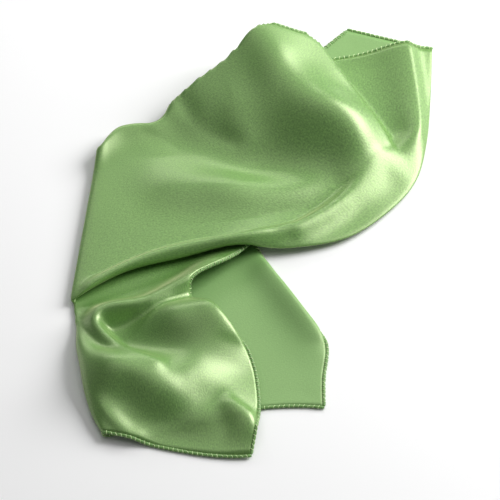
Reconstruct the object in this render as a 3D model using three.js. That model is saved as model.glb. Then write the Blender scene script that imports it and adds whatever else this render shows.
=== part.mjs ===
// A satin scarf lying loosely folded on a flat surface, in millimetres, +Z up.
// The cloth is one rectangular sheet. It is folded lengthwise into a band of two layers, and the band is
// folded back under itself at the left. The band's upper arm runs to the far right, over the lower arm,
// which ends nearest the viewer in two tails.
import * as THREE from "three";

// The sheet
const WALL = 1.0; // thickness of the cloth
const LAYER = 3.2; // least pitch between two layers, which leaves room for a hem between them
const LOWEST = 0.5; // height of the middle of the lowest layer
const SETTLED = 0.05; // the underside lies flat on the surface wherever it comes closer to it than this

// The rolled hem
const HEM_WIDTH = 3.0;
const HEM_THICK = 2.0;
const HEM_GAP = 0.3; // space left between the hem and the sheet's edge
const HEM_SIDES = 6;

// The two folds
const FOLD_ROUND = { upper: 8, lower: 4 }; // radius of the lengthwise fold in either arm
const TURN_ROUND = 6; // radius of the fold at the left, where the band goes back under itself
const TURN_OUTER = 4; // how far the outer layer of the band passes outside the inner one there
const TUCK_RADIUS = { upper: 5, lower: 2.2 }; // radius of the curl along a tucked open edge

// How finely each arm and each layer is divided
const ROWS = { upper: 27, lower: 21 };
const COLUMNS = { a: 15, b: 22 };

// Steps put in between two rows of a fold's table
const FOLD_STEPS = 3;

// Centre of the outline in plan, taken off every point so that the part stands on its own middle
const CENTRE = [3, 12];

// Sections across the band, from the fold at the left (at 0) to the end of the arm (at 1). The columns are
// the place, x and y of the lengthwise fold, x and y of the open edges of layers a and b, how far the line
// across each layer bends away from straight, how far each open edge is curled under in degrees, and the
// height of the lower of the arm's two layers.
const SECTION_COLUMNS = [
  "at", "foldX", "foldY", "edgeXa", "edgeYa", "edgeXb", "edgeYb", "bowA", "bowB", "tuckA", "tuckB", "base",
];
const UPPER = [
  [0, -157, -64, -137, 92, -134, 112, 0, 0, 0, 100, 7],
  [0.1, -112, -35, -126, 104, -128, 124, 0, 0, 0, 100, 7],
  [0.2, -62, -18, -115, 112, -119, 134, 0, 0, 0, 100, 7],
  [0.3, -10, -7, -100, 117, -105, 138, 0, 0, 0, 100, 7],
  [0.4, 42, -3, -80, 122, -90, 139, 0, 0, 0, 100, 6],
  [0.5, 88, 11, -58, 132, -78, 148, 0, 0, 0, 100, 3.5],
  [0.6, 126, 44, -36, 146, -68, 169, 0, 0, 0, 100, 1.5],
  [0.7, 150, 80, -12, 164, -54, 183, 0, 0, 0, 100, 0.5],
  [0.8, 160, 125, 18, 190, -40, 196, 0, -2, 0, 100, 0.5],
  [0.9, 164, 182, 54, 224, -25, 212, 0, -7, 0, 100, 0.5],
  [1, 166, 237, 90, 261, -8, 230, 0, -12, 0, 80, 0.5],
];
const LOWER = [
  [0, -157, -64, -137, 92, -134, 112, 0, 0, 0, 20, 7],
  [0.12, -157, -73, -98, 82, -84, 98, 0, 0, 0, 0, 7],
  [0.22, -156, -80, -40, 58, -34, 66, 0, 0, 0, 0, 7],
  [0.31, -156, -87, 0, 16, -8, 24, 0, 0, 0, 0, 7],
  [0.38, -155, -93, -9, -9, 7, -3, 0, 0, 20, 70, 7],
  [0.5, -155, -116, -54, -54.4, 20, -26, 0, 0, 90, 160, 7],
  [0.58, -154, -126, -34, -85.7, 32, -46, 0, 0, 160, 160, 7],
  [0.67, -152, -138, -13, -112.6, 48, -73, 0, 0, 150, 160, 7],
  [0.75, -150, -152, -2, -127.5, 63, -99, 0, 0, 20, 120, 7],
  [0.83, -147, -170, 5, -153.3, 68, -118, 0, 3, 0, 10, 7],
  [0.92, -140, -196, 7, -196.5, 65, -150, -2, 6, 0, 0, 7],
  [1, -131, -216, 0, -239.3, 65, -183, -5, 9, 0, 0, 7],
];

// Folds and dents. Each row is a place on the crest: x, y, rise, left, right. rise is the height added
// there, negative for a dent, and left and right are the half widths of the flanks, seen along the crest.
const TOP_FOLDS = {
  roll_along_fold: [
    [-152, -68, 5, 6, 12],
    [-135, -47, 8.5, 7.5, 10],
    [-90, -21, 10, 8, 9],
    [-46.8, -7, 10, 8, 9],
    [-4.4, 0, 10, 8, 9],
    [33.8, 13.5, 10, 8.5, 11],
    [46, 18, 10, 8.5, 12],
    [82, 49, 10, 10, 14],
    [119, 99, 11.5, 11.8, 21.6],
  ],
  end_roll: [
    [143.9, 231.4, 11, 9.1, 29.7],
    [150.6, 174.2, 9.8, 8.4, 23.1],
    [152.7, 130.5, 11.2, 8.1, 16.1],
    [140.2, 109.3, 7.9, 19.5, 17.2],
    [131.1, 91, 5.7, 19.9, 15.8],
  ],
};
const TOP_DENTS = {
  groove_behind_roll: [
    [-137, -33, -2, 7, 8],
    [-90, -5, -2.5, 9, 9],
    [-45, 9, -2.5, 9, 9],
    [0, 18, -3, 10, 9],
    [42, 38, -3, 12, 11],
    [78, 68, -2.5, 12, 12],
  ],
  crease_from_edge: [
    [-63.2, 158.7, -2.1, 10.3, 6.8],
    [-43.2, 130.5, -0.9, 9.3, 6.7],
    [-12.8, 113.2, -2.1, 9.8, 6.5],
  ],
  pucker: [
    [-14.4, 141.2, 2.6, 18.3, 14.4],
    [-6.7, 116, 3.8, 15, 15.9],
  ],
};
const TAIL_FOLDS = {
  rim: [
    [8, 6, 3, 11, 19],
    [-9.2, -10.9, 6.5, 10, 17],
    [-39.5, -34.8, 15, 8, 15],
    [-54.6, -50.5, 19, 8, 15],
    [-89.6, -75.5, 19, 8, 15],
    [-120, -81.5, 19, 9, 13],
    [-134, -86.5, 17.5, 9, 12],
    [-138.5, -97, 16.5, 9, 10],
    [-133, -110, 17, 9, 11],
    [-121, -125, 18, 9, 13],
    [-104, -141, 20, 10, 15],
    [-84, -153, 20, 12, 16],
  ],
  low_rib: [
    [-147, -162, 5, 12, 8],
    [-134, -188, 9, 14, 8],
    [-121, -206, 8, 15, 8],
    [-106, -218, 4, 14, 9],
  ],
  front_ridge: [
    [-55.3, -161.3, 6.9, 9.8, 9.8],
    [-52.5, -183.3, 4.5, 9.2, 9.3],
    [-51, -207.5, 3.1, 8.6, 9],
  ],
  side_ridge: [
    [-22.6, -170.6, 3.5, 11.5, 10.7],
    [-16.2, -190.2, 14, 9.6, 17.8],
    [-2.1, -202.7, 16, 8.6, 23.9],
  ],
};
const BACK_TAIL_FOLDS = {
  long_wave: [
    [16, -14, 2, 16, 24],
    [38, -60, 4, 16, 24],
    [58, -104, 3, 16, 24],
  ],
};

// Broad relief of the front tail and of the hump: heights at places one step apart, a row for each y and
// a column for each x, blended by cubic B-splines.
const TAIL_RELIEF = {
  step: 20,
  x: [-150, -130, -110, -90, -70, -50, -30, -10],
  rows: [
    { y: -85, rises: [1, 0, 2, 13, 29, 29, 29, 12] },
    { y: -105, rises: [14, 0, 0, 13, 27, 29, 29, 18] },
    { y: -125, rises: [20, 8, 0, 4, 9, 19, 23, 12] },
    { y: -145, rises: [18, 33, 31, 20, 18, 21, 12, 3] },
    { y: -165, rises: [7, 32, 34, 34, 23, 20, 13, 6] },
    { y: -185, rises: [0, 13, 9, 22, 26, 10, 5, 9] },
    { y: -205, rises: [0, 12, 6, 0, 0, 6, 14, 3] },
    { y: -225, rises: [0, 0, 0, 0, 0, 0, 2, 2] },
  ],
};
const HUMP_RELIEF = {
  step: 25,
  x: [-75, -50, -25, 0, 25, 50, 75, 100, 125, 150],
  rows: [
    { y: 60, rises: [9, 12, 17, 16, 13, 10, 8, 7, 1, 0] },
    { y: 85, rises: [4, 3, 2, -3, -1, 4, 8, 16, 5, 0] },
    { y: 110, rises: [-3, -2, 3, 7, 14, 23, 29, 38, 8, 1] },
    { y: 135, rises: [1, 13, 17, 23, 32, 47, 54, 38, 10, -1] },
    { y: 160, rises: [7, 25, 33, 35, 46, 49, 35, 17, 4, -3] },
    { y: 185, rises: [22, 27, 36, 43, 60, 40, 32, 23, 8, -6] },
    { y: 210, rises: [38, 37, 37, 55, 55, 40, 32, 16, 4, -9] },
    { y: 235, rises: [55, 53, 55, 63, 48, 38, 27, 12, 0, -10] },
  ],
};

// Where the hump breaks off at its back: x, y and the distance over which it falls away.
const HUMP_BREAK = [
  [121.5, 122, 7],
  [99.5, 157.4, 7],
  [89, 172.7, 7],
  [75.1, 190.9, 7],
  [61.6, 211.7, 8.3],
  [40.7, 219.7, 14.5],
  [12.1, 217, 10.3],
  [-6.1, 201.8, 7],
  [-24.1, 185.9, 12.2],
  [-47.6, 170.7, 9.9],
  [-69.8, 155.4, 7.5],
];
const UNBROKEN = 400; // distance over which the hump's front side would fall away, so wide that it stays

const mix = (p, q, t) => p + (q - p) * t;
const smooth = (t) => {
  const k = Math.min(1, Math.max(0, t));
  return k * k * (3 - 2 * k);
};

// Column k of a table at any place, as a smooth curve through its rows. The first column is the place.
function column(table, k, at) {
  const last = table.length - 1;
  let i = 0;
  while (i < last - 1 && at > table[i + 1][0]) i += 1;
  const slope = (row) => {
    const before = table[Math.max(0, row - 1)];
    const after = table[Math.min(last, row + 1)];
    return (after[k] - before[k]) / (after[0] - before[0]);
  };
  const step = table[i + 1][0] - table[i][0];
  const t = (at - table[i][0]) / step;
  const rise = table[i + 1][k] - table[i][k];
  const start = slope(i) * step;
  const end = slope(i + 1) * step;
  return table[i][k] + t * (start + t * (3 * rise - 2 * start - end + t * (start + end - 2 * rise)));
}

// The rows of a fold with smooth steps put in between them.
function finer(rows) {
  const table = rows.map((row, i) => [i, ...row]);
  const count = (rows.length - 1) * FOLD_STEPS;
  const steps = Array.from({ length: count + 1 }, (_, i) => i / FOLD_STEPS);
  return steps.map((at) => rows[0].map((_, k) => column(table, k + 1, at)));
}

// Height that one fold adds at a place in plan.
function foldHeight(crest, x, y) {
  let best = { distance: Infinity };
  for (let i = 0; i + 1 < crest.length; i += 1) {
    const [from, to] = [crest[i], crest[i + 1]];
    const dx = to[0] - from[0];
    const dy = to[1] - from[1];
    const share = ((x - from[0]) * dx + (y - from[1]) * dy) / (dx * dx + dy * dy + 1e-9);
    const t = Math.min(1, Math.max(0, share));
    const [cx, cy, rise, left, right] = from.map((value, k) => mix(value, to[k], t));
    const distance = Math.hypot(x - cx, y - cy);
    if (distance < best.distance) {
      const side = (dx * (y - cy) - dy * (x - cx)) / Math.hypot(dx, dy);
      best = { distance, rise, left, right, side };
    }
  }
  const width = mix(best.right, best.left, smooth(0.5 + best.side / 8));
  return best.rise * Math.exp(-((best.distance / width) ** 2));
}

const crests = (folds) => Object.values(folds).map(finer);
const [topFolds, topDents] = [crests(TOP_FOLDS), crests(TOP_DENTS)];
const [tailFolds, backTailFolds] = [crests(TAIL_FOLDS), crests(BACK_TAIL_FOLDS)];
const humpBreak = finer(HUMP_BREAK.map(([x, y, fall]) => [x, y, 1, UNBROKEN, fall]));
const each = (folds, x, y) => folds.map((crest) => foldHeight(crest, x, y));
const total = (heights) => heights.reduce((sum, height) => sum + height, 0);

// Folds that run into one another meet as one surface, not as the sum of their heights.
const joined = (heights) => Math.cbrt(total(heights.map((height) => height ** 3)));

// One cubic B-spline, four steps wide.
function bump(t) {
  const a = Math.abs(t);
  if (a < 1) return (4 - 6 * a * a + 3 * a ** 3) / 6;
  return a < 2 ? (2 - a) ** 3 / 6 : 0;
}

function relief({ step, x: columns, rows }, x, y) {
  const heights = rows.map((row) => {
    const along = total(row.rises.map((rise, i) => rise * bump((x - columns[i]) / step)));
    return along * bump((y - row.y) / step);
  });
  return Math.max(0, total(heights));
}

// All columns of a section table at one place along the arm.
function section(table, at) {
  return Object.fromEntries(SECTION_COLUMNS.map((name, k) => [name, k === 0 ? at : column(table, k, at)]));
}

// Where the lower layer's end lies in plan, so that the upper layer can drop past it.
function backEnd(x) {
  const end = section(LOWER, 1);
  const share = (x - end.foldX) / (end.edgeXb - end.foldX);
  const bow = share > 0 && share < 1 ? 6.75 * end.bowB * share * share * (1 - share) : 0;
  return mix(end.foldY, end.edgeYb, share) + bow;
}

// One point of the middle of the sheet. across runs from -1 at the open edge of layer a, through 0 at the
// lengthwise fold, to 1 at the open edge of layer b. along runs from -1 at the tails, through 0 at the fold
// at the left, to 1 at the far end.
function sheetPoint(across, along) {
  const arm = along >= 0 ? "upper" : "lower";
  const table = along >= 0 ? UPPER : LOWER;
  const turn = TURN_ROUND / 300;
  const reach = Math.hypot(along, turn);
  const at = Math.min(1, (reach - turn) / (Math.hypot(1, turn) - turn));
  const above = along / reach;

  const here = section(table, at);
  const { foldX, foldY, base } = here;
  const [edgeX, edgeY] = across >= 0 ? [here.edgeXb, here.edgeYb] : [here.edgeXa, here.edgeYa];
  const [bow, tuckDegrees] = across >= 0 ? [here.bowB, here.tuckB] : [here.bowA, here.tuckA];

  const width = Math.hypot(edgeX - foldX, edgeY - foldY);
  const tuck = (Math.max(0, tuckDegrees) * Math.PI) / 180;
  const radius = TUCK_RADIUS[arm];
  const turnedIn = radius * Math.sin(Math.min(tuck, Math.PI / 2));
  const round = mix(FOLD_ROUND.lower, FOLD_ROUND.upper, smooth(0.5 + above / 2));
  const flatLength = Math.sqrt((width - turnedIn + round) ** 2 - round ** 2);
  const arc = Math.abs(across) * (flatLength + radius * tuck);

  let inward = Math.hypot(Math.min(arc, flatLength), round) - round;
  let drop = 0;
  if (arc > flatLength) {
    const angle = (arc - flatLength) / radius;
    inward += radius * Math.sin(angle);
    drop = radius * (1 - Math.cos(angle));
  }
  const share = inward / width;
  const side = (Math.sign(across) * Math.min(arc, flatLength)) / Math.hypot(Math.min(arc, flatLength), round);

  const outer = (TURN_OUTER * (1 - above * above) * (1 + side)) / 2;
  const x = mix(foldX, edgeX, share) - outer;
  const y = mix(foldY, edgeY, share) + 6.75 * bow * share * share * (1 - share);

  const fromEdge = Math.max(0, width - inward);
  const fromEnd = (1 - Math.abs(along)) * 300;
  const edgeLift = (radius * (1 - Math.cos(tuck)) + 0.6) * Math.exp(-((fromEdge / 16) ** 2));
  const endLift = 0.6 * Math.exp(-((fromEnd / 10) ** 2));
  const lift = Math.max(edgeLift, endLift);

  const tail = joined([relief(TAIL_RELIEF, x, y), ...each(tailFolds, x, y)]);
  const backTail = LOWEST + total(each(backTailFolds, x, y)) + lift;
  const pastBack = smooth((backEnd(x) - y - 6) / 16);
  const frontTail = LOWEST + (1 - pastBack) * LAYER + tail + lift;
  const inner = base + lift + (1 - smooth((at - 0.4) / 0.2)) * tail;
  const hump = relief(HUMP_RELIEF, x, y) * foldHeight(humpBreak, x, y);
  const top = Math.max(0, joined([hump, ...each(topFolds, x, y)]) + total(each(topDents, x, y)));
  const outside = inner + LAYER + top;

  const upperHeight = mix(inner, outside, (1 + side) / 2);
  const lowerHeight = mix(frontTail, backTail, (1 + side) / 2);
  const z = mix(lowerHeight, upperHeight, (1 + above) / 2) - drop;
  return new THREE.Vector3(x - CENTRE[0], y - CENTRE[1], z);
}

// Places along one direction, closer together round a fold at 0.
function places(before, after, round) {
  const spread = (k) => (Math.hypot(k, round) - round) / (Math.hypot(1, round) - round);
  const list = [];
  for (let i = before; i > 0; i -= 1) list.push(-spread(i / before));
  for (let i = 0; i <= after; i += 1) list.push(spread(i / after));
  return list;
}

const acrossPlaces = places(COLUMNS.a, COLUMNS.b, 0.35);
const alongPlaces = places(ROWS.lower, ROWS.upper, 0.25);
const grid = alongPlaces.map((along) => acrossPlaces.map((across) => sheetPoint(across, along)));

// Normal of the sheet at a grid point, out of the face that lies uppermost in the upper arm.
function sheetNormal(row, col) {
  const rows = grid.length - 1;
  const cols = grid[0].length - 1;
  const alongStep = new THREE.Vector3().subVectors(
    grid[Math.min(rows, row + 1)][col],
    grid[Math.max(0, row - 1)][col],
  );
  const acrossStep = new THREE.Vector3().subVectors(
    grid[row][Math.min(cols, col + 1)],
    grid[row][Math.max(0, col - 1)],
  );
  return alongStep.cross(acrossStep).normalize();
}

// The sheet as a closed wall: the grid on both faces, joined round the rim.
function sheetGeometry() {
  const rows = grid.length;
  const cols = grid[0].length;
  const points = [];
  for (const half of [0.5, -0.5]) {
    for (let r = 0; r < rows; r += 1) {
      for (let c = 0; c < cols; c += 1) {
        const p = sheetNormal(r, c).multiplyScalar(WALL * half).add(grid[r][c]);
        points.push(p.x, p.y, p.z < SETTLED ? 0 : p.z);
      }
    }
  }
  const index = (face, r, c) => face * rows * cols + r * cols + c;
  const faces = [];
  const quad = (p, q, s, t) => faces.push(p, q, s, p, s, t);
  for (let r = 0; r + 1 < rows; r += 1) {
    for (let c = 0; c + 1 < cols; c += 1) {
      quad(index(0, r, c), index(0, r + 1, c), index(0, r + 1, c + 1), index(0, r, c + 1));
      quad(index(1, r, c), index(1, r, c + 1), index(1, r + 1, c + 1), index(1, r + 1, c));
    }
  }
  const rim = [];
  for (let c = 0; c < cols; c += 1) rim.push([0, c]);
  for (let r = 1; r < rows; r += 1) rim.push([r, cols - 1]);
  for (let c = cols - 2; c >= 0; c -= 1) rim.push([rows - 1, c]);
  for (let r = rows - 2; r > 0; r -= 1) rim.push([r, 0]);
  rim.forEach(([r, c], i) => {
    const [r2, c2] = rim[(i + 1) % rim.length];
    quad(index(0, r, c), index(0, r2, c2), index(1, r2, c2), index(1, r, c));
  });
  const geometry = new THREE.BufferGeometry();
  geometry.setAttribute("position", new THREE.Float32BufferAttribute(points, 3));
  geometry.setIndex(faces);
  return geometry;
}

// A rolled hem along one edge of the sheet: an oval cord just outside the edge. edge lists the grid places
// along it and inwardOf gives the neighbour of each on the sheet. grow is how far the cord runs past each
// corner: the two cords across the sheet's ends fill its corners, and the long ones stop short of them.
function hemGeometry(edge, inwardOf, grow) {
  const path = edge.map(([r, c], i) => {
    const [ri, ci] = inwardOf(r, c);
    const [before, after] = [edge[Math.max(0, i - 1)], edge[Math.min(edge.length - 1, i + 1)]];
    const run = new THREE.Vector3().subVectors(grid[after[0]][after[1]], grid[before[0]][before[1]]).normalize();
    const outward = new THREE.Vector3().subVectors(grid[r][c], grid[ri][ci]);
    outward.addScaledVector(run, -outward.dot(run)).normalize();
    return { at: grid[r][c].clone(), outward, normal: run.cross(outward).normalize() };
  });
  const ends = [
    [path[0], path[1]],
    [path[path.length - 1], path[path.length - 2]],
  ];
  ends.forEach(([last, next]) => {
    const run = new THREE.Vector3().subVectors(last.at, next.at).normalize();
    last.at = last.at.clone().addScaledVector(run, grow);
  });
  const points = [];
  const faces = [];
  path.forEach(({ at, outward, normal }) => {
    const middle = at.clone().addScaledVector(outward, HEM_GAP + HEM_WIDTH / 2);
    middle.z = Math.max(middle.z, HEM_THICK / 2);
    for (let k = 0; k < HEM_SIDES; k += 1) {
      const turn = (k / HEM_SIDES) * 2 * Math.PI;
      const p = middle
        .clone()
        .addScaledVector(outward, (Math.cos(turn) * HEM_WIDTH) / 2)
        .addScaledVector(normal, (Math.sin(turn) * HEM_THICK) / 2);
      points.push(p.x, p.y, Math.max(0, p.z));
    }
  });
  for (let i = 0; i + 1 < path.length; i += 1) {
    for (let k = 0; k < HEM_SIDES; k += 1) {
      const a = i * HEM_SIDES + k;
      const b = i * HEM_SIDES + ((k + 1) % HEM_SIDES);
      faces.push(a, b, b + HEM_SIDES, a, b + HEM_SIDES, a + HEM_SIDES);
    }
  }
  for (let k = 1; k + 1 < HEM_SIDES; k += 1) {
    const far = (path.length - 1) * HEM_SIDES;
    faces.push(0, k + 1, k, far, far + k, far + k + 1);
  }
  const geometry = new THREE.BufferGeometry();
  geometry.setAttribute("position", new THREE.Float32BufferAttribute(points, 3));
  geometry.setIndex(faces);
  return geometry;
}

const satin = new THREE.MeshStandardMaterial({ color: 0x7ba463, roughness: 0.35, metalness: 0 });
const thread = new THREE.MeshStandardMaterial({ color: 0x6f8f58, roughness: 0.7, metalness: 0 });

const scarf = new THREE.Group();
scarf.name = "satin_scarf";

function addNode(name, geometry, material) {
  // A cord or sheet whose faces came out pointing inwards is turned the right way round.
  const position = geometry.getAttribute("position");
  const index = geometry.getIndex();
  let volume = 0;
  const [a, b, c] = [new THREE.Vector3(), new THREE.Vector3(), new THREE.Vector3()];
  for (let i = 0; i < index.count; i += 3) {
    a.fromBufferAttribute(position, index.getX(i));
    b.fromBufferAttribute(position, index.getX(i + 1));
    c.fromBufferAttribute(position, index.getX(i + 2));
    volume += a.dot(b.cross(c));
  }
  if (volume < 0) {
    for (let i = 0; i < index.count; i += 3) {
      const kept = index.getX(i + 1);
      index.setX(i + 1, index.getX(i + 2));
      index.setX(i + 2, kept);
    }
  }
  geometry.computeVertexNormals();
  const mesh = new THREE.Mesh(geometry, material);
  mesh.name = name;
  scarf.add(mesh);
}

const lastRow = grid.length - 1;
const lastColumn = grid[0].length - 1;
const everyRow = grid.map((_, r) => r);
const everyColumn = grid[0].map((_, c) => c);
const corner = HEM_GAP + HEM_WIDTH;

addNode("satin_panel", sheetGeometry(), satin);
addNode("hem_tail_end", hemGeometry(everyColumn.map((c) => [0, c]), (r, c) => [r + 1, c], corner), thread);
addNode("hem_far_end", hemGeometry(everyColumn.map((c) => [lastRow, c]), (r, c) => [r - 1, c], corner), thread);
addNode("hem_long_a", hemGeometry(everyRow.map((r) => [r, 0]), (r, c) => [r, c + 1], -1), thread);
addNode("hem_long_b", hemGeometry(everyRow.map((r) => [r, lastColumn]), (r, c) => [r, c - 1], -1), thread);

export default scarf;
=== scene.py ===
import math
import bpy
import numpy as np
from mathutils import Matrix, Vector


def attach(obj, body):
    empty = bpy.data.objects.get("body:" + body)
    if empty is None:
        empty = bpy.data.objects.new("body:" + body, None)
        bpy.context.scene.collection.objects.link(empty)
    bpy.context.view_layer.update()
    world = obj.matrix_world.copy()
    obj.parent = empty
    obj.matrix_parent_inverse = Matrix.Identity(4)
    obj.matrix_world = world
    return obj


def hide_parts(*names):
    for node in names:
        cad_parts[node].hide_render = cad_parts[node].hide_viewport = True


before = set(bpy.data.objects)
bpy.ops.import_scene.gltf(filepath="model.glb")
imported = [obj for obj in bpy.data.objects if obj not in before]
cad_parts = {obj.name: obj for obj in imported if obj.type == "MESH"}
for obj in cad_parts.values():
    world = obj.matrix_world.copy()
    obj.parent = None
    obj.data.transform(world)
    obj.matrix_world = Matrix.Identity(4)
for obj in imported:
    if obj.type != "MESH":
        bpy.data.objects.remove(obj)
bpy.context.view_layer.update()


# The scarf's cloth is one oblong of polyester satin, glossy outside and matt inside. It is folded
# lengthwise off its middle into a band of two layers, the band is folded back under itself at the left,
# and the upper arm is pushed up into a hump.
WALL = 0.9
LAYER = 3.2
LOWEST = 0.5
FOLD_ROUND = {"upper": 8.0, "lower": 4.0}
TURN_ROUND = 6.0
TURN_OUTER = 4.0
TUCK_RADIUS = {"upper": 5.0, "lower": 2.2}
CENTRE = (3.0, 12.0)
ARM_LENGTH = 300.0
TURN_BASE = 7.0
EDGE_CLEAR = 0.6
EDGE_REACH = 16.0
END_REACH = 10.0
FLAT_SIZE = (0.34, 0.66)

# Sections across the band, from the fold at the left to the end of either arm, in millimetres: the
# lengthwise fold, the open edges of layers a and b, their bows, their tucks in degrees and the height of
# the arm's lower layer. A bow is a cubic that peaks two thirds of the way across.
SECTION_COLUMNS = (
    "at", "fold_x", "fold_y", "a_x", "a_y", "b_x", "b_y", "bow_a", "bow_b", "tuck_a", "tuck_b", "base",
)
BOW_SCALE = 27 / 4
UPPER = np.array([
    (0, -157, -64, -137, 92, -134, 112, 0, 0, 0, 100, 7),
    (0.1, -112, -35, -126, 104, -128, 124, 0, 0, 0, 100, 7),
    (0.2, -62, -18, -115, 112, -119, 134, 0, 0, 0, 100, 7),
    (0.3, -10, -7, -100, 117, -105, 138, 0, 0, 0, 100, 7),
    (0.4, 42, -3, -80, 122, -90, 139, 0, 0, 0, 100, 6),
    (0.5, 88, 11, -58, 132, -78, 148, 0, 0, 0, 100, 3.5),
    (0.6, 126, 44, -36, 146, -68, 169, 0, 0, 0, 100, 1.5),
    (0.7, 150, 80, -12, 164, -54, 183, 0, 0, 0, 100, 0.5),
    (0.8, 160, 125, 18, 190, -40, 196, 0, -2, 0, 100, 0.5),
    (0.9, 164, 182, 54, 224, -25, 212, 0, -7, 0, 100, 0.5),
    (1, 166, 237, 90, 261, -8, 230, 0, -12, 0, 80, 0.5),
])
LOWER = np.array([
    (0, -157, -64, -137, 92, -134, 112, 0, 0, 0, 20, 7),
    (0.12, -157, -73, -98, 82, -84, 98, 0, 0, 0, 0, 7),
    (0.22, -156, -80, -40, 58, -34, 66, 0, 0, 0, 0, 7),
    (0.31, -156, -87, 0, 16, -8, 24, 0, 0, 0, 0, 7),
    (0.38, -155, -93, -9, -9, 7, -3, 0, 0, 20, 70, 7),
    (0.5, -155, -116, -54, -54.4, 20, -26, 0, 0, 90, 160, 7),
    (0.58, -154, -126, -34, -85.7, 32, -46, 0, 0, 160, 160, 7),
    (0.67, -152, -138, -13, -112.6, 48, -73, 0, 0, 150, 160, 7),
    (0.75, -150, -152, -2, -127.5, 63, -99, 0, 0, 20, 120, 7),
    (0.83, -147, -170, 5, -153.3, 68, -118, 0, 3, 0, 10, 7),
    (0.92, -140, -196, 7, -196.5, 65, -150, -2, 6, 0, 0, 7),
    (1, -131, -216, 0, -239.3, 65, -183, -5, 9, 0, 0, 7),
])

# Folds and dents. Each row is a place on the crest: x, y, the rise there, and the widths of the left and
# right flanks, seen along the crest. The two flanks blend over a few millimetres at the crest.
FLANK_BLEND = 8.0
TOP_FOLDS = {
    "roll_along_fold": [
        (-152, -68, 5, 6, 12),
        (-135, -47, 8.5, 7.5, 10),
        (-90, -21, 10, 8, 9),
        (-46.8, -7, 10, 8, 9),
        (-4.4, 0, 10, 8, 9),
        (33.8, 13.5, 10, 8.5, 11),
        (46, 18, 10, 8.5, 12),
        (82, 49, 10, 10, 14),
        (119, 99, 11.5, 11.8, 21.6),
    ],
    "end_roll": [
        (143.9, 231.4, 11, 9.1, 29.7),
        (150.6, 174.2, 9.8, 8.4, 23.1),
        (152.7, 130.5, 11.2, 8.1, 16.1),
        (140.2, 109.3, 7.9, 19.5, 17.2),
        (131.1, 91, 5.7, 19.9, 15.8),
    ],
}
TOP_DENTS = {
    "groove_behind_roll": [
        (-137, -33, -2, 7, 8),
        (-90, -5, -2.5, 9, 9),
        (-45, 9, -2.5, 9, 9),
        (0, 18, -3, 10, 9),
        (42, 38, -3, 12, 11),
        (78, 68, -2.5, 12, 12),
    ],
    "crease_from_edge": [
        (-63.2, 158.7, -2.1, 10.3, 6.8),
        (-43.2, 130.5, -0.9, 9.3, 6.7),
        (-12.8, 113.2, -2.1, 9.8, 6.5),
    ],
    "pucker": [
        (-14.4, 141.2, 2.6, 18.3, 14.4),
        (-6.7, 116, 3.8, 15, 15.9),
    ],
}
TAIL_FOLDS = {
    "rim": [
        (8, 6, 3, 11, 19),
        (-9.2, -10.9, 6.5, 10, 17),
        (-39.5, -34.8, 15, 8, 15),
        (-54.6, -50.5, 19, 8, 15),
        (-89.6, -75.5, 19, 8, 15),
        (-120, -81.5, 19, 9, 13),
        (-134, -86.5, 17.5, 9, 12),
        (-138.5, -97, 16.5, 9, 10),
        (-133, -110, 17, 9, 11),
        (-121, -125, 18, 9, 13),
        (-104, -141, 20, 10, 15),
        (-84, -153, 20, 12, 16),
    ],
    "low_rib": [
        (-147, -162, 5, 12, 8),
        (-134, -188, 9, 14, 8),
        (-121, -206, 8, 15, 8),
        (-106, -218, 4, 14, 9),
    ],
    "front_ridge": [
        (-55.3, -161.3, 6.9, 9.8, 9.8),
        (-52.5, -183.3, 4.5, 9.2, 9.3),
        (-51, -207.5, 3.1, 8.6, 9),
    ],
    "side_ridge": [
        (-22.6, -170.6, 3.5, 11.5, 10.7),
        (-16.2, -190.2, 14, 9.6, 17.8),
        (-2.1, -202.7, 16, 8.6, 23.9),
    ],
}
BACK_TAIL_FOLDS = {
    "long_wave": [
        (16, -14, 2, 16, 24),
        (38, -60, 4, 16, 24),
        (58, -104, 3, 16, 24),
    ],
}

# Broad relief of the front tail and of the hump: heights at evenly spaced places, a row for each y and a
# column for each x, blended by cubic B-splines.
TAIL_RELIEF_X = (-150, -130, -110, -90, -70, -50, -30, -10)
TAIL_RELIEF = {
    -85: (1, 0, 2, 13, 29, 29, 29, 12),
    -105: (14, 0, 0, 13, 27, 29, 29, 18),
    -125: (20, 8, 0, 4, 9, 19, 23, 12),
    -145: (18, 33, 31, 20, 18, 21, 12, 3),
    -165: (7, 32, 34, 34, 23, 20, 13, 6),
    -185: (0, 13, 9, 22, 26, 10, 5, 9),
    -205: (0, 12, 6, 0, 0, 6, 14, 3),
    -225: (0, 0, 0, 0, 0, 0, 2, 2),
}
HUMP_RELIEF_X = (-75, -50, -25, 0, 25, 50, 75, 100, 125, 150)
HUMP_RELIEF = {
    60: (9, 12, 17, 16, 13, 10, 8, 7, 1, 0),
    85: (4, 3, 2, -3, -1, 4, 8, 16, 5, 0),
    110: (-3, -2, 3, 7, 14, 23, 29, 38, 8, 1),
    135: (1, 13, 17, 23, 32, 47, 54, 38, 10, -1),
    160: (7, 25, 33, 35, 46, 49, 35, 17, 4, -3),
    185: (22, 27, 36, 43, 60, 40, 32, 23, 8, -6),
    210: (38, 37, 37, 55, 55, 40, 32, 16, 4, -9),
    235: (55, 53, 55, 63, 48, 38, 27, 12, 0, -10),
}

# Where the hump breaks off at its back: x, y and the distance over which it falls away. On the side of the
# hump itself it is unbroken.
UNBROKEN = 400.0
HUMP_BREAK = [
    (121.5, 122, 7),
    (99.5, 157.4, 7),
    (89, 172.7, 7),
    (75.1, 190.9, 7),
    (61.6, 211.7, 8.3),
    (40.7, 219.7, 14.5),
    (12.1, 217, 10.3),
    (-6.1, 201.8, 7),
    (-24.1, 185.9, 12.2),
    (-47.6, 170.7, 9.9),
    (-69.8, 155.4, 7.5),
]


def mix(p, q, t):
    return p + (q - p) * t


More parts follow.
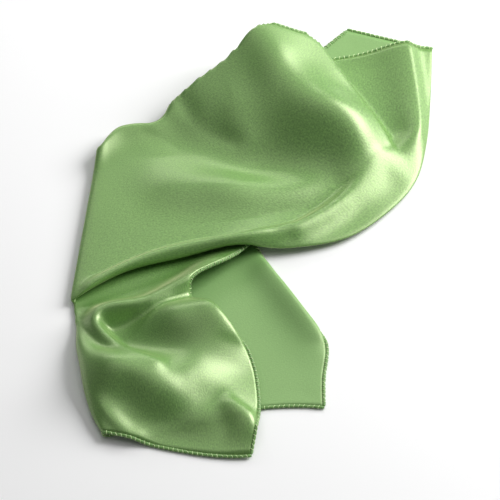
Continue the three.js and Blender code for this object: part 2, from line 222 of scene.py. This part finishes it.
def smooth(t):
    k = np.clip(t, 0, 1)
    return k * k * (3 - 2 * k)


def curve(rows, values, at):
    """A smooth curve through values at rows, read at any places."""
    slopes = np.empty_like(values)
    slopes[1:-1] = (values[2:] - values[:-2]) / (rows[2:] - rows[:-2])
    slopes[0] = (values[1] - values[0]) / (rows[1] - rows[0])
    slopes[-1] = (values[-1] - values[-2]) / (rows[-1] - rows[-2])
    i = np.clip(np.searchsorted(rows, at, side="left") - 1, 0, len(rows) - 2)
    step = rows[i + 1] - rows[i]
    t = (at - rows[i]) / step
    rise = values[i + 1] - values[i]
    start, end = slopes[i] * step, slopes[i + 1] * step
    return values[i] + t * (start + t * (3 * rise - 2 * start - end + t * (start + end - 2 * rise)))


def column(table, name, at):
    """A column of a section table at any places along the arm."""
    return curve(table[:, 0], table[:, SECTION_COLUMNS.index(name)], at)


def fold_height(rows, x, y):
    """Height that one fold adds at places in plan."""
    p = np.array(rows, float)
    places = np.arange(len(p), dtype=float)
    fine = np.linspace(0, len(p) - 1, (len(p) - 1) * 3 + 1)
    q = np.stack([curve(places, p[:, k], fine) for k in range(5)], 1)
    nearest = np.full(x.shape, np.inf)
    height, side = np.zeros(x.shape), np.zeros(x.shape)
    left, right = np.ones(x.shape), np.ones(x.shape)
    for a, b in zip(q[:-1], q[1:]):
        dx, dy = b[0] - a[0], b[1] - a[1]
        t = np.clip(((x - a[0]) * dx + (y - a[1]) * dy) / (dx * dx + dy * dy + 1e-9), 0, 1)
        ex, ey = x - a[0] - dx * t, y - a[1] - dy * t
        d = ex * ex + ey * ey
        c = d < nearest
        nearest = np.where(c, d, nearest)
        height = np.where(c, a[2] + (b[2] - a[2]) * t, height)
        left = np.where(c, a[3] + (b[3] - a[3]) * t, left)
        right = np.where(c, a[4] + (b[4] - a[4]) * t, right)
        side = np.where(c, (dx * ey - dy * ex) / math.hypot(dx, dy), side)
    width = mix(right, left, smooth(0.5 + side / FLANK_BLEND))
    return height * np.exp(-nearest / width**2)


def joined(heights):
    """Folds that run into one another meet as one surface, not as the sum of their heights."""
    return np.cbrt(sum(height**3 for height in heights))


def each(folds, x, y):
    return [fold_height(rows, x, y) for rows in folds.values()]


def bump(t):
    """One cubic B-spline, four steps wide."""
    a = np.abs(t)
    return np.where(a < 1, (4 - 6 * a * a + 3 * a**3) / 6, np.where(a < 2, (2 - a) ** 3 / 6, 0))


def relief(table, columns, x, y):
    step = columns[1] - columns[0]
    height = 0
    for at_y, rises in table.items():
        row = sum(rise * bump((x - at_x) / step) for rise, at_x in zip(rises, columns))
        height = height + row * bump((y - at_y) / step)
    return np.maximum(0, height)


def bowed(bow, share):
    """How far a section bows out, part of the way across."""
    return BOW_SCALE * bow * share * share * (1 - share)


def back_end(x):
    """Where the lower layer's end lies in plan."""
    _, fold_x, fold_y, _, _, b_x, b_y, _, bow, _, _, _ = LOWER[-1]
    share = (x - fold_x) / (b_x - fold_x)
    inside = (share > 0) & (share < 1)
    return mix(fold_y, b_y, share) + np.where(inside, bowed(bow, share), 0)


def sheet_points(across, along):
    """Middle of the sheet. across runs from -1 at the open edge of layer a, through 0 at the lengthwise
    fold, to 1 at the open edge of layer b; along from -1 at the tails, through 0 at the fold at the left,
    to 1 at the far end."""
    across, along = np.broadcast_arrays(across, along)
    upper, layer_b = along >= 0, across >= 0
    turn = TURN_ROUND / ARM_LENGTH
    reach = np.hypot(along, turn)
    at = np.minimum(1, (reach - turn) / (math.hypot(1, turn) - turn))
    above = along / reach

    def read(name):
        return np.where(upper, column(UPPER, name, at), column(LOWER, name, at))

    fold_x, fold_y = read("fold_x"), read("fold_y")
    edge_x = np.where(layer_b, read("b_x"), read("a_x"))
    edge_y = np.where(layer_b, read("b_y"), read("a_y"))
    bow = np.where(layer_b, read("bow_b"), read("bow_a"))
    tuck = np.radians(np.maximum(0, np.where(layer_b, read("tuck_b"), read("tuck_a"))))

    width = np.hypot(edge_x - fold_x, edge_y - fold_y)
    radius = np.where(upper, TUCK_RADIUS["upper"], TUCK_RADIUS["lower"])
    turned_in = radius * np.sin(np.minimum(tuck, math.pi / 2))
    rounding = mix(FOLD_ROUND["lower"], FOLD_ROUND["upper"], smooth(0.5 + above / 2))
    flat_length = np.sqrt((width - turned_in + rounding) ** 2 - rounding**2)
    arc = np.abs(across) * (flat_length + radius * tuck)
    flat = np.minimum(arc, flat_length)
    angle = np.maximum(0, arc - flat_length) / radius
    inward = np.hypot(flat, rounding) - rounding + radius * np.sin(angle)
    drop = radius * (1 - np.cos(angle))
    share = inward / width
    side = np.sign(across) * flat / np.hypot(flat, rounding)

    outer = TURN_OUTER * (1 - above * above) * (1 + side) / 2
    x = mix(fold_x, edge_x, share) - outer
    y = mix(fold_y, edge_y, share) + bowed(bow, share)

    from_edge = np.maximum(0, width - inward)
    from_end = (1 - np.abs(along)) * ARM_LENGTH
    edge_lift = (radius * (1 - np.cos(tuck)) + EDGE_CLEAR) * np.exp(-((from_edge / EDGE_REACH) ** 2))
    end_lift = EDGE_CLEAR * np.exp(-((from_end / END_REACH) ** 2))
    lift = np.maximum(edge_lift, end_lift)

    tail_folds = joined([relief(TAIL_RELIEF, TAIL_RELIEF_X, x, y), *each(TAIL_FOLDS, x, y)])
    back_tail = LOWEST + sum(each(BACK_TAIL_FOLDS, x, y)) + lift
    past_back_tail = smooth((back_end(x) - y - 6) / 16)
    front_tail = LOWEST + (1 - past_back_tail) * LAYER + tail_folds + lift
    over_tail = 1 - smooth((at - 0.4) / 0.2)
    inner = np.where(upper, column(UPPER, "base", at), TURN_BASE) + lift + over_tail * tail_folds
    break_off = fold_height([(bx, by, 1, UNBROKEN, fall) for bx, by, fall in HUMP_BREAK], x, y)
    hump = relief(HUMP_RELIEF, HUMP_RELIEF_X, x, y) * break_off
    top = np.maximum(0, joined([hump, *each(TOP_FOLDS, x, y)]) + sum(each(TOP_DENTS, x, y)))
    outside = inner + LAYER + top

    upper_height = mix(inner, outside, (1 + side) / 2)
    lower_height = mix(front_tail, back_tail, (1 + side) / 2)
    z = mix(lower_height, upper_height, (1 + above) / 2) - drop
    return np.stack([x - CENTRE[0], y - CENTRE[1], z], axis=-1)


def places(before, after, rounding):
    """Places along one direction, closer together round a fold at 0."""
    k = np.concatenate([-np.arange(before, 0, -1) / before, np.arange(0, after + 1) / after])
    spread = (np.hypot(k, rounding) - rounding) / (math.hypot(1, rounding) - rounding)
    return np.sign(k) * spread


STEPS_ACROSS = {"layer_a": 76, "layer_b": 106, "rounding": 0.35}
STEPS_ALONG = {"lower": 110, "upper": 140, "rounding": 0.25}
across = places(*STEPS_ACROSS.values())
along = places(*STEPS_ALONG.values())
grid = sheet_points(across[None, :], along[:, None])
run = np.gradient(grid, axis=0)
cross = np.gradient(grid, axis=1)
grid_normals = np.cross(run, cross)
grid_normals /= np.linalg.norm(grid_normals, axis=2, keepdims=True)

rows, cols = grid.shape[:2]
faces_of_sheet = [grid + grid_normals * WALL / 2 * face for face in (1, -1)]
points = np.concatenate([f.reshape(-1, 3) for f in faces_of_sheet])
points[:, 2] = np.maximum(points[:, 2], 0)
index = np.arange(2 * rows * cols).reshape(2, rows, cols)
top, bottom = index
glossy_side = (top[:-1, :-1], top[1:, :-1], top[1:, 1:], top[:-1, 1:])
matt_side = (bottom[:-1, :-1], bottom[:-1, 1:], bottom[1:, 1:], bottom[1:, :-1])
rim = np.concatenate([index[:, 0, :], index[:, 1:, -1], index[:, -1, -2::-1], index[:, -2:0:-1, 0]], axis=1)
around = np.roll(rim, -1, axis=1)
cut_edges = (rim[0], around[0], around[1], rim[1])
quads = [np.stack(corners, axis=-1).reshape(-1, 4) for corners in (glossy_side, matt_side, cut_edges)]
faces = np.concatenate(quads)

panel_mesh = bpy.data.meshes.new("satin_cloth")
panel_mesh.from_pydata((points / 1000).tolist(), [], faces.tolist())
matt_faces = np.zeros(len(faces), dtype=np.int32)
matt_faces[len(quads[0]):len(quads[0]) + len(quads[1])] = 1
panel_mesh.polygons.foreach_set("material_index", matt_faces)
panel_mesh.polygons.foreach_set("use_smooth", np.ones(len(faces), dtype=bool))
across_m = np.broadcast_to((across * FLAT_SIZE[0] / 2)[None, :], (rows, cols)).reshape(-1)
along_m = np.broadcast_to((along * FLAT_SIZE[1] / 2)[:, None], (rows, cols)).reshape(-1)
uv_of_point = np.tile(np.stack([across_m, along_m], axis=-1), (2, 1))
uv_map = panel_mesh.uv_layers.new(name="cloth")
loop_points = np.empty(len(panel_mesh.loops), dtype=np.int32)
panel_mesh.loops.foreach_get("vertex_index", loop_points)
uv_map.data.foreach_set("uv", uv_of_point[loop_points].reshape(-1))
panel_mesh.update()
panel = bpy.data.objects.new("satin_cloth", panel_mesh)
bpy.context.collection.objects.link(panel)


class Shade:
    """A socket of a node tree, so that shader maths reads as plain expressions."""

    def __init__(self, tree, socket=None):
        self.tree, self.socket = tree, socket

    def node(self, kind, settings=None, **inputs):
        made = self.tree.nodes.new(kind)
        for name, value in (settings or {}).items():
            if name == "stops":
                ramp = made.color_ramp
                while len(ramp.elements) < len(value):
                    ramp.elements.new(0.5)
                for element, (place, colour) in zip(ramp.elements, value):
                    element.position, element.color = place, colour
            else:
                setattr(made, name, value)
        for name, value in inputs.items():
            numbered = name[0] == "i" and name[1:].isdigit()
            socket = made.inputs[int(name[1:]) if numbered else name.replace("_", " ")]
            if isinstance(value, Shade):
                self.tree.links.new(value.socket, socket)
            else:
                socket.default_value = value
        return made

    def value(self, kind, output=0, settings=None, **inputs):
        return Shade(self.tree, self.node(kind, settings, **inputs).outputs[output])

    def math(self, operation, a, b=0.0):
        return self.value("ShaderNodeMath", 0, {"operation": operation}, i0=a, i1=b)

    def __add__(self, other):
        return self.math("ADD", self, other)

    def __radd__(self, other):
        return self.math("ADD", other, self)

    def __sub__(self, other):
        return self.math("SUBTRACT", self, other)

    def __rsub__(self, other):
        return self.math("SUBTRACT", other, self)

    def __mul__(self, other):
        return self.math("MULTIPLY", self, other)

    def __rmul__(self, other):
        return self.math("MULTIPLY", other, self)

    def blend(self, low, high):
        return self.value("ShaderNodeMix", 2, {"data_type": "RGBA"}, i0=self, i6=low, i7=high)


def satin_material(name, colour, deep, roughness, metallic, sheen):
    """One face of the satin: long floats of filament along the cloth, so it is finely ribbed one way."""
    made = bpy.data.materials.new(name)
    made.use_nodes = True
    tree = made.node_tree
    tree.nodes.clear()
    shade = Shade(tree)
    uv = shade.value("ShaderNodeUVMap", 0, {"uv_map": "cloth"})
    along_floats = shade.value("ShaderNodeMapping", 0, Vector=uv, Scale=(1400, 260, 1))
    streaks = shade.value("ShaderNodeTexNoise", 0, Vector=along_floats, Scale=1.0, Detail=3.0)
    in_patches = shade.value("ShaderNodeMapping", 0, Vector=uv, Scale=(14, 14, 1))
    cloudy = shade.value("ShaderNodeTexNoise", 0, Vector=in_patches, Scale=1.0, Detail=2.0)
    grain = shade.value("ShaderNodeTexNoise", 0, Vector=uv, Scale=750.0, Detail=1.0)
    tone = (cloudy - 0.5) * 0.6 + (streaks - 0.5) * 1.5 + (grain - 0.5) * 1.9 + 0.5
    weave = streaks * 0.5 + grain
    bump = shade.value("ShaderNodeBump", 0, Strength=0.35, Distance=0.0003, Height=weave)
    surface = shade.node(
        "ShaderNodeBsdfPrincipled",
        None,
        Base_Color=tone.blend((*deep, 1), (*colour, 1)),
        Roughness=(streaks - 0.5) * 0.12 + roughness,
        Normal=bump,
        Metallic=metallic,
        Sheen_Weight=sheen,
        Sheen_Roughness=0.3,
        Sheen_Tint=(1.0, 1.0, 0.6, 1),
        Specular_Tint=(1.0, 0.98, 0.72, 1),
        IOR=2.25,
    )
    tree.links.new(surface.outputs[0], shade.node("ShaderNodeOutputMaterial").inputs[0])
    return made


panel.data.materials.append(
    satin_material(
        "satin_face",
        colour=(0.18, 0.40, 0.09),
        deep=(0.085, 0.22, 0.045),
        roughness=0.42,
        metallic=0.12,
        sheen=0.5,
    )
)
panel.data.materials.append(
    satin_material(
        "satin_reverse",
        colour=(0.155, 0.37, 0.09),
        deep=(0.125, 0.31, 0.07),
        roughness=0.6,
        metallic=0.0,
        sheen=0.2,
    )
)
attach(panel, "root")
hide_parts("satin_panel")


# The edges of the scarf are rolled into a narrow hem, 2.8 mm wide, and overcast with thread of a paler
# green. The thread goes round the roll every 4.4 mm or so and pinches it. Each of the four sides is one hem.
HEM_WIDTH = 2.8
HEM_THICK = 2.0
HEM_SEAT = 0.9
STITCH_PITCH = 4.4
RINGS_PER_STITCH = 6
ROLL_SIDES = 10
PINCH = 0.16
WAVER = 0.08
WAVER_LENGTH = 31.0
THREAD_THICK = 0.75


def hem_line(edge, neighbour, grow):
    """Middle of a hem, evenly spaced, with its outward and forward directions, from an edge of the grid."""
    line = edge.copy()
    tangent = np.gradient(line, axis=0)
    tangent /= np.linalg.norm(tangent, axis=1, keepdims=True)
    outward = line - neighbour
    outward -= tangent * np.sum(outward * tangent, axis=1, keepdims=True)
    outward /= np.linalg.norm(outward, axis=1, keepdims=True)
    line[0] -= tangent[0] * grow
    line[-1] += tangent[-1] * grow
    line = line + outward * HEM_SEAT
    line[:, 2] = np.maximum(line[:, 2], HEM_THICK / 2 + 0.3)
    length = np.concatenate([[0], np.cumsum(np.linalg.norm(np.diff(line, axis=0), axis=1))])
    even = np.arange(0, length[-1], STITCH_PITCH / RINGS_PER_STITCH)
    middle = np.stack([np.interp(even, length, line[:, k]) for k in range(3)], axis=-1)
    out = np.stack([np.interp(even, length, outward[:, k]) for k in range(3)], axis=-1)
    out /= np.linalg.norm(out, axis=1, keepdims=True)
    forward = np.gradient(middle, axis=0)
    forward /= np.linalg.norm(forward, axis=1, keepdims=True)
    return even, middle, out, forward


def hem_roll(name, even, middle, out, forward):
    """The rolled cloth as a closed oval cord, with a loose point at every place for a stitch."""
    up = np.cross(forward, out)
    turn = np.arange(ROLL_SIDES) / ROLL_SIDES * 2 * math.pi
    pinched = PINCH * np.cos(even / STITCH_PITCH * 2 * math.pi)
    swell = 1 - pinched - WAVER * np.cos(even / WAVER_LENGTH + 1)
    ring = (
        middle[:, None, :]
        + out[:, None, :] * (np.cos(turn)[None, :, None] * HEM_WIDTH / 2 * swell[:, None, None])
        + up[:, None, :] * (np.sin(turn)[None, :, None] * HEM_THICK / 2 * swell[:, None, None])
    )
    ring[..., 2] = np.maximum(ring[..., 2], 0)
    n = len(even)
    ids = np.arange(n * ROLL_SIDES).reshape(n, ROLL_SIDES)
    nxt = np.roll(ids, -1, axis=1)
    walls = np.stack([ids[:-1], nxt[:-1], nxt[1:], ids[1:]], axis=-1).reshape(-1, 4).tolist()
    walls += [ids[0][::-1].tolist(), ids[-1].tolist()]
    stitched = np.arange(RINGS_PER_STITCH, n - RINGS_PER_STITCH // 2, RINGS_PER_STITCH)
    points = np.concatenate([ring.reshape(-1, 3), middle[stitched]])
    mesh = bpy.data.meshes.new(name)
    mesh.from_pydata((points / 1000).tolist(), [], walls)
    mesh.polygons.foreach_set("use_smooth", np.ones(len(walls), dtype=bool))
    place = mesh.attributes.new("stitch_place", "BOOLEAN", "POINT")
    place.data.foreach_set("value", np.arange(len(points)) >= n * ROLL_SIDES)
    for title, field in (("stitch_out", out), ("stitch_forward", forward)):
        store = mesh.attributes.new(title, "FLOAT_VECTOR", "POINT")
        vectors = np.concatenate([np.zeros((n * ROLL_SIDES, 3)), field[stitched]])
        store.data.foreach_set("vector", vectors.reshape(-1))
    mesh.update()
    made = bpy.data.objects.new(name, mesh)
    bpy.context.collection.objects.link(made)
    return made


def stitch_nodes():
    """Geometry nodes that put one loop of thread round the roll at every marked point."""
    tree = bpy.data.node_groups.new("overcast_stitches", "GeometryNodeTree")
    new_socket = tree.interface.new_socket
    new_socket("Geometry", in_out="INPUT", socket_type="NodeSocketGeometry")
    for title in ("Loop Width", "Loop Height", "Thread Thickness", "Slant", "Unevenness"):
        new_socket(title, in_out="INPUT", socket_type="NodeSocketFloat")
    new_socket("Seed", in_out="INPUT", socket_type="NodeSocketInt")
    new_socket("Thread", in_out="INPUT", socket_type="NodeSocketMaterial")
    new_socket("Geometry", in_out="OUTPUT", socket_type="NodeSocketGeometry")
    given = tree.nodes.new("NodeGroupInput")
    result = tree.nodes.new("NodeGroupOutput")

    def node(kind, settings=(), **links):
        made = tree.nodes.new(kind)
        for title, value in dict(settings).items():
            setattr(made, title, value)
        for title, value in links.items():
            socket = made.inputs[title.replace("_", " ")]
            if isinstance(value, bpy.types.NodeSocket):
                tree.links.new(value, socket)
            else:
                socket.default_value = value
        return made

    def stored(kind, title):
        return node("GeometryNodeInputNamedAttribute", {"data_type": kind}, Name=title).outputs[0]

    def uneven(low, high, seed):
        made = node("FunctionNodeRandomValue", {"data_type": "FLOAT_VECTOR"}, Seed=seed)
        made.inputs[0].default_value, made.inputs[1].default_value = low, high
        return made.outputs[0]

    def scaled(vector, factor):
        made = node("ShaderNodeVectorMath", {"operation": "SCALE"}, Scale=factor)
        tree.links.new(vector, made.inputs[0])
        return made.outputs[0]

    marked = stored("BOOLEAN", "stitch_place")
    facing = node("FunctionNodeAxesToRotation", {"primary_axis": "Z", "secondary_axis": "X"})
    tree.links.new(stored("FLOAT_VECTOR", "stitch_forward"), facing.inputs[0])
    tree.links.new(stored("FLOAT_VECTOR", "stitch_out"), facing.inputs[1])
    size = node("ShaderNodeCombineXYZ", X=given.outputs["Loop Width"], Y=given.outputs["Loop Height"], Z=1.0)
    ring = node("GeometryNodeCurvePrimitiveCircle", Resolution=14, Radius=0.5).outputs[0]
    oval = node("GeometryNodeTransform", Geometry=ring, Scale=size.outputs[0]).outputs[0]
    thread_radius = node("ShaderNodeMath", {"operation": "MULTIPLY"})
    tree.links.new(given.outputs["Thread Thickness"], thread_radius.inputs[0])
    thread_radius.inputs[1].default_value = 0.5
    profile = node("GeometryNodeCurvePrimitiveCircle", Resolution=5, Radius=thread_radius.outputs[0])
    loop = node("GeometryNodeCurveToMesh", Curve=oval, Profile_Curve=profile.outputs[0]).outputs[0]
    loops = node(
        "GeometryNodeInstanceOnPoints",
        Points=given.outputs["Geometry"],
        Selection=marked,
        Instance=loop,
        Rotation=facing.outputs[0],
    ).outputs[0]
    slant = node("ShaderNodeCombineXYZ", X=0.0, Y=given.outputs["Slant"], Z=0.0).outputs[0]
    turned = node("ShaderNodeVectorMath", {"operation": "ADD"})
    tree.links.new(slant, turned.inputs[0])
    wobble = uneven((0.0, -1.0, -0.6), (0.0, 1.0, 0.6), given.outputs["Seed"])
    tree.links.new(scaled(wobble, given.outputs["Unevenness"]), turned.inputs[1])
    slanted = node("GeometryNodeRotateInstances", Instances=loops, Rotation=turned.outputs[0]).outputs[0]
    real = node("GeometryNodeRealizeInstances", Geometry=slanted).outputs[0]
    dyed = node("GeometryNodeSetMaterial", Geometry=real, Material=given.outputs["Thread"]).outputs[0]
    roll = node(
        "GeometryNodeDeleteGeometry",
        {"domain": "POINT"},
        Geometry=given.outputs["Geometry"],
        Selection=marked,
    )
    both = node("GeometryNodeJoinGeometry")
    tree.links.new(dyed, both.inputs[0])
    tree.links.new(roll.outputs[0], both.inputs[0])
    tree.links.new(both.outputs[0], result.inputs[0])
    return tree


def thread_material(name, colour, deep, roughness, grain):
    """Matt green yarn, mottled along its length."""
    made = bpy.data.materials.new(name)
    made.use_nodes = True
    tree = made.node_tree
    tree.nodes.clear()
    shade = Shade(tree)
    at = shade.value("ShaderNodeTexCoord", 3)
    mottle = shade.value("ShaderNodeTexNoise", 0, Vector=at, Scale=grain, Detail=2.0)
    surface = shade.node(
        "ShaderNodeBsdfPrincipled",
        None,
        Base_Color=((mottle - 0.5) * 2.0 + 0.5).blend((*deep, 1), (*colour, 1)),
        Roughness=roughness,
        Normal=shade.value("ShaderNodeBump", 0, Strength=0.4, Distance=0.0003, Height=mottle),
        Sheen_Weight=0.3,
        IOR=1.5,
    )
    tree.links.new(surface.outputs[0], shade.node("ShaderNodeOutputMaterial").inputs[0])
    return made


roll_material = thread_material("hem_roll", (0.20, 0.40, 0.10), (0.10, 0.24, 0.05), 0.5, 420.0)
thread = thread_material("hem_thread", (0.74, 0.88, 0.48), (0.40, 0.60, 0.22), 0.55, 700.0)
stitches = stitch_nodes()
stitch_inputs = [item for item in stitches.interface.items_tree if item.in_out == "INPUT"]
socket_of = {item.name: item.identifier for item in stitch_inputs}
for name, edge, neighbour, grow in (
    ("hem_tail_end", grid[0], grid[1], 1.4),
    ("hem_far_end", grid[-1], grid[-2], 1.4),
    ("hem_long_a", grid[:, 0], grid[:, 1], -1.0),
    ("hem_long_b", grid[:, -1], grid[:, -2], -1.0),
):
    plain_roll = hem_roll("plain_" + name, *hem_line(edge, neighbour, grow))
    plain_roll.data.materials.append(roll_material)
    sewing = plain_roll.modifiers.new("overcast", "NODES")
    sewing.node_group = stitches
    sewing[socket_of["Loop Width"]] = (HEM_WIDTH + 0.5) / 1000
    sewing[socket_of["Loop Height"]] = (HEM_THICK + 0.2) / 1000
    sewing[socket_of["Thread Thickness"]] = THREAD_THICK / 1000
    sewing[socket_of["Slant"]] = 0.5
    sewing[socket_of["Unevenness"]] = 0.45
    sewing[socket_of["Seed"]] = 7
    sewing[socket_of["Thread"]] = thread
    shaped = plain_roll.evaluated_get(bpy.context.evaluated_depsgraph_get())
    hem_mesh = bpy.data.meshes.new_from_object(shaped)
    roll = bpy.data.objects.new("rolled_" + name, hem_mesh)
    bpy.context.collection.objects.link(roll)
    bpy.data.objects.remove(plain_roll)
    hem_mesh.polygons.foreach_set("use_smooth", np.ones(len(hem_mesh.polygons), dtype=bool))
    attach(roll, "root")
    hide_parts(name)


# A plain white table, a large soft box at the back right, a narrow one low at the back, a weak one
# overhead, and the camera at the photograph's angle.
floor_mesh = bpy.data.meshes.new("table")
floor_mesh.from_pydata([(-6, -6, 0), (6, -6, 0), (6, 6, 0), (-6, 6, 0)], [], [(0, 1, 2, 3)])
floor = bpy.data.objects.new("table", floor_mesh)
FLOOR_DROP = 0.0003
floor.location.z = -FLOOR_DROP
bpy.context.collection.objects.link(floor)
table = bpy.data.materials.new("table_white")
table.use_nodes = True
table.node_tree.nodes["Principled BSDF"].inputs["Base Color"].default_value = (0.94, 0.94, 0.94, 1)
table.node_tree.nodes["Principled BSDF"].inputs["Roughness"].default_value = 0.9
table.node_tree.nodes["Principled BSDF"].inputs["Specular IOR Level"].default_value = 0.1
floor.data.materials.append(table)

world = bpy.data.worlds.new("studio")
world.use_nodes = True
world.node_tree.nodes["Background"].inputs["Color"].default_value = (1, 1, 1, 1)
world.node_tree.nodes["Background"].inputs["Strength"].default_value = 0.13
bpy.context.scene.world = world
bpy.context.scene.view_settings.view_transform = "Standard"


def soft_box(name, direction, along, distance, size, power):
    """A rectangular soft box that faces the scarf, with its long side turned towards along."""
    data = bpy.data.lights.new(name, "AREA")
    data.shape, data.size, data.size_y, data.energy = "RECTANGLE", size[0], size[1], power
    lamp = bpy.data.objects.new(name, data)
    away = Vector(direction).normalized()
    side = Vector(along)
    side = (side - away * side.dot(away)).normalized()
    turned = Matrix((side, away.cross(side), away)).transposed().to_4x4()
    lamp.matrix_world = Matrix.Translation(away * distance) @ turned
    bpy.context.collection.objects.link(lamp)


soft_box("side_soft_box", (0.74, 0.40, 0.56), (0, 0, 1), 1.9, (1.3, 1.3), 54)
soft_box("back_strip", (-0.15, 0.88, 0.45), (1, 0, 0), 2.2, (1.8, 0.4), 12)
soft_box("top_fill", (-0.1, 0.15, 1.0), (1, 0, 0), 2.0, (2.0, 2.0), 8)

CAMERA_DISTANCE = 10.0
CAMERA_AIM = (-0.003, -0.012)
CAMERA_TILT = math.radians(50)
camera_data = bpy.data.cameras.new("view")
camera_data.lens, camera_data.sensor_width = 800, 36
camera_data.clip_end = 100
camera = bpy.data.objects.new("view", camera_data)
camera.location = (
    CAMERA_AIM[0],
    CAMERA_AIM[1] - CAMERA_DISTANCE * math.cos(CAMERA_TILT),
    CAMERA_DISTANCE * math.sin(CAMERA_TILT),
)
camera.rotation_euler = (math.pi / 2 - CAMERA_TILT, 0, 0)
bpy.context.collection.objects.link(camera)
bpy.context.scene.camera = camera
